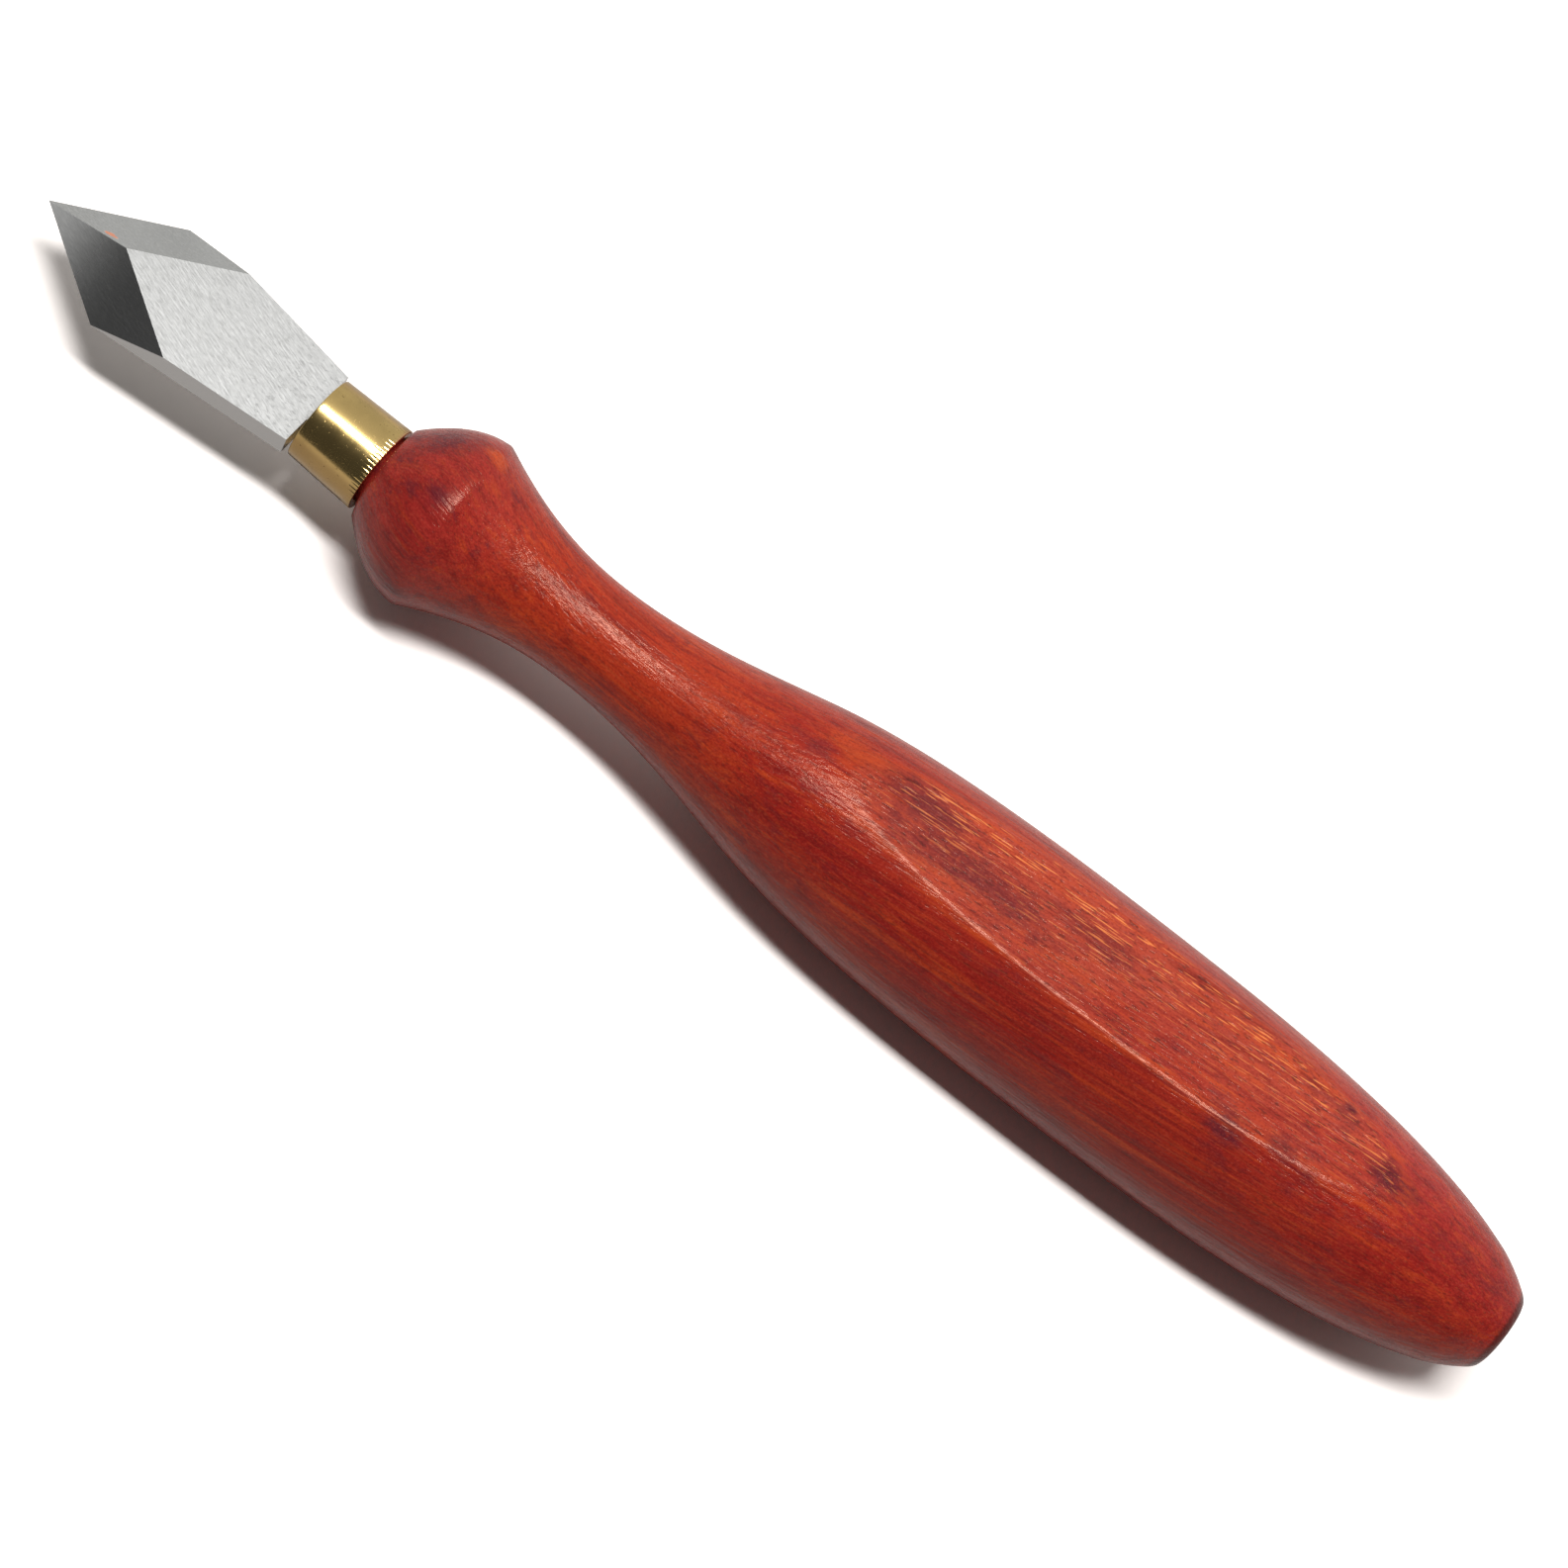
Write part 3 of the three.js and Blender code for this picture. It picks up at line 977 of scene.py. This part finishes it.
class KNIFE_OT_stage(bpy.types.Operator):
    """Lay the floor, hang the lights and set the camera"""

    bl_idname = "knife.stage"
    bl_label = "Stage"

    def execute(self, context):
        stage = context.scene.knife_stage
        lay_floor(stage)
        set_room(stage)
        hang_lights(stage)
        set_camera(stage)
        context.scene.view_settings.view_transform = "Standard"
        return {"FINISHED"}


TABLE_RADIUS = 330 * MM
TABLE_SIDES = 96
TABLE_MOTTLE = (30, 30, 30)
MOTTLE_SHADE = 0.985
WALLS = (-0.12, 0.30)  # from the dark wall's edge to the pale one's, as a slope across
WALL_TINT = (1.0, 1.0, 0.98)
WHITE = (1, 1, 1)
SENSOR_WIDTH = 36
NEAREST_SIGHT = 10 * MM


def lay_floor(stage):
    """A pale table. It looks bright to the camera, and gives the tool only a share of that light."""
    turns = [2 * math.pi * i / TABLE_SIDES for i in range(TABLE_SIDES)]
    corners = [(TABLE_RADIUS * math.cos(turn), TABLE_RADIUS * math.sin(turn), 0) for turn in turns]
    material = bpy.data.materials.new("pale table")
    material.use_nodes = True
    table = Bench(material.node_tree, "Object")
    bright = shaded(stage.floor, stage.floor_gain)
    mottled = table.mixed(table.grain(TABLE_MOTTLE), bright, shaded(bright, MOTTLE_SHADE))
    lit = table.node("ShaderNodeBsdfDiffuse", None, {"Color": shaded(stage.floor, stage.bounce)})
    shown = table.node("ShaderNodeBsdfDiffuse", None, {"Color": mottled})
    table.end("ShaderNodeOutputMaterial", lit, shown)
    floor = new_piece("table", corners, [tuple(range(TABLE_SIDES))], material)


def set_room(stage):
    """A room with a pale wall beyond the tool and a dark one behind the viewer. It looks white."""
    world = bpy.data.worlds.new("room")
    bpy.context.scene.world = world
    world.use_nodes = True
    room = Bench(world.node_tree, "Generated")
    _, across, _ = room.parts(room.place)
    pale = shaded(WALL_TINT, stage.pale_wall)
    wall = room.mixed(across.between(*WALLS), shaded(WHITE, stage.dark_wall), pale)
    lit = room.node("ShaderNodeBackground", None, {"Color": wall, "Strength": 1.0})
    shown = room.node("ShaderNodeBackground", None, {"Color": WHITE, "Strength": 1.0})
    room.end("ShaderNodeOutputWorld", lit, shown)


def hang_lights(stage):
    """A long, soft lamp overhead that faces the tool, leaning a little to the viewer's side."""
    lean = stage.lamp_lean
    height = stage.lamp_height
    place = Vector((stage.lamp_along, -height * math.sin(lean), height * math.cos(lean)))
    data = bpy.data.lights.new("overhead lamp", "AREA")
    data.shape = "RECTANGLE"
    data.size = stage.lamp_length
    data.size_y = stage.lamp_width
    data.energy = stage.lamp_power
    lamp = bpy.data.objects.new("overhead lamp", data)
    bpy.context.scene.collection.objects.link(lamp)
    back = place.normalized()
    along = Vector((1, 0, 0))
    across = back.cross(along).normalized()
    turn = Matrix((along, across, back)).transposed().to_4x4()
    lamp.matrix_world = Matrix.Translation(place) @ turn


def set_camera(stage):
    """Look at the tool from above its right side, with its axis sloping down to the right."""
    cosine = math.cos(stage.eye_roll)
    sine = math.sin(stage.eye_roll)
    along = Vector((1, 0, 0))
    across = Vector((0, math.cos(stage.eye_tilt), math.sin(stage.eye_tilt)))
    back = along.cross(across)
    right = cosine * along + sine * across
    up = -sine * along + cosine * across
    aim = Vector((stage.aim_along, 0, AXIS_HEIGHT)) + stage.aim_across * across
    data = bpy.data.cameras.new("camera")
    data.lens = stage.lens
    data.sensor_width = SENSOR_WIDTH
    data.clip_start = NEAREST_SIGHT
    camera = bpy.data.objects.new("camera", data)
    bpy.context.scene.collection.objects.link(camera)
    turn = Matrix((right, up, back)).transposed().to_4x4()
    camera.matrix_world = Matrix.Translation(aim + stage.eye_distance * back) @ turn
    bpy.context.scene.camera = camera


# ---------------------------------------------------------------------------
# Add-on
# ---------------------------------------------------------------------------

OPERATORS = (KNIFE_OT_stage, KNIFE_OT_blade, KNIFE_OT_ferrule, KNIFE_OT_handle, KNIFE_OT_adhesive)


class KNIFE_PT_panel(bpy.types.Panel):
    """Sizes, colours and makers of the knife"""

    bl_label = "Lino cutting knife"
    bl_idname = "KNIFE_PT_panel"
    bl_space_type = "VIEW_3D"
    bl_region_type = "UI"
    bl_category = "Knife"

    def draw(self, context):
        scene = context.scene
        for group in (scene.knife_sizes, scene.knife_colours, scene.knife_stage):
            for name in group.__annotations__:
                self.layout.prop(group, name)
        for operator in OPERATORS:
            self.layout.operator(operator.bl_idname)


CLASSES = (KnifeSizes, KnifeColours, KnifeStage, *OPERATORS, KNIFE_PT_panel)


def register():
    """Make the knife's operators and settings known."""
    for cls in CLASSES:
        bpy.utils.register_class(cls)
    bpy.types.Scene.knife_sizes = PointerProperty(type=KnifeSizes)
    bpy.types.Scene.knife_colours = PointerProperty(type=KnifeColours)
    bpy.types.Scene.knife_stage = PointerProperty(type=KnifeStage)


def unregister():
    """Take them away again."""
    del bpy.types.Scene.knife_stage
    del bpy.types.Scene.knife_colours
    del bpy.types.Scene.knife_sizes
    for cls in reversed(CLASSES):
        bpy.utils.unregister_class(cls)


def main():
    """Build the knife and its stage."""
    register()
    bpy.ops.knife.stage()
    bpy.ops.knife.blade()
    bpy.ops.knife.ferrule()
    bpy.ops.knife.handle()
    bpy.ops.knife.adhesive()


if __name__ == "__main__":
    main()
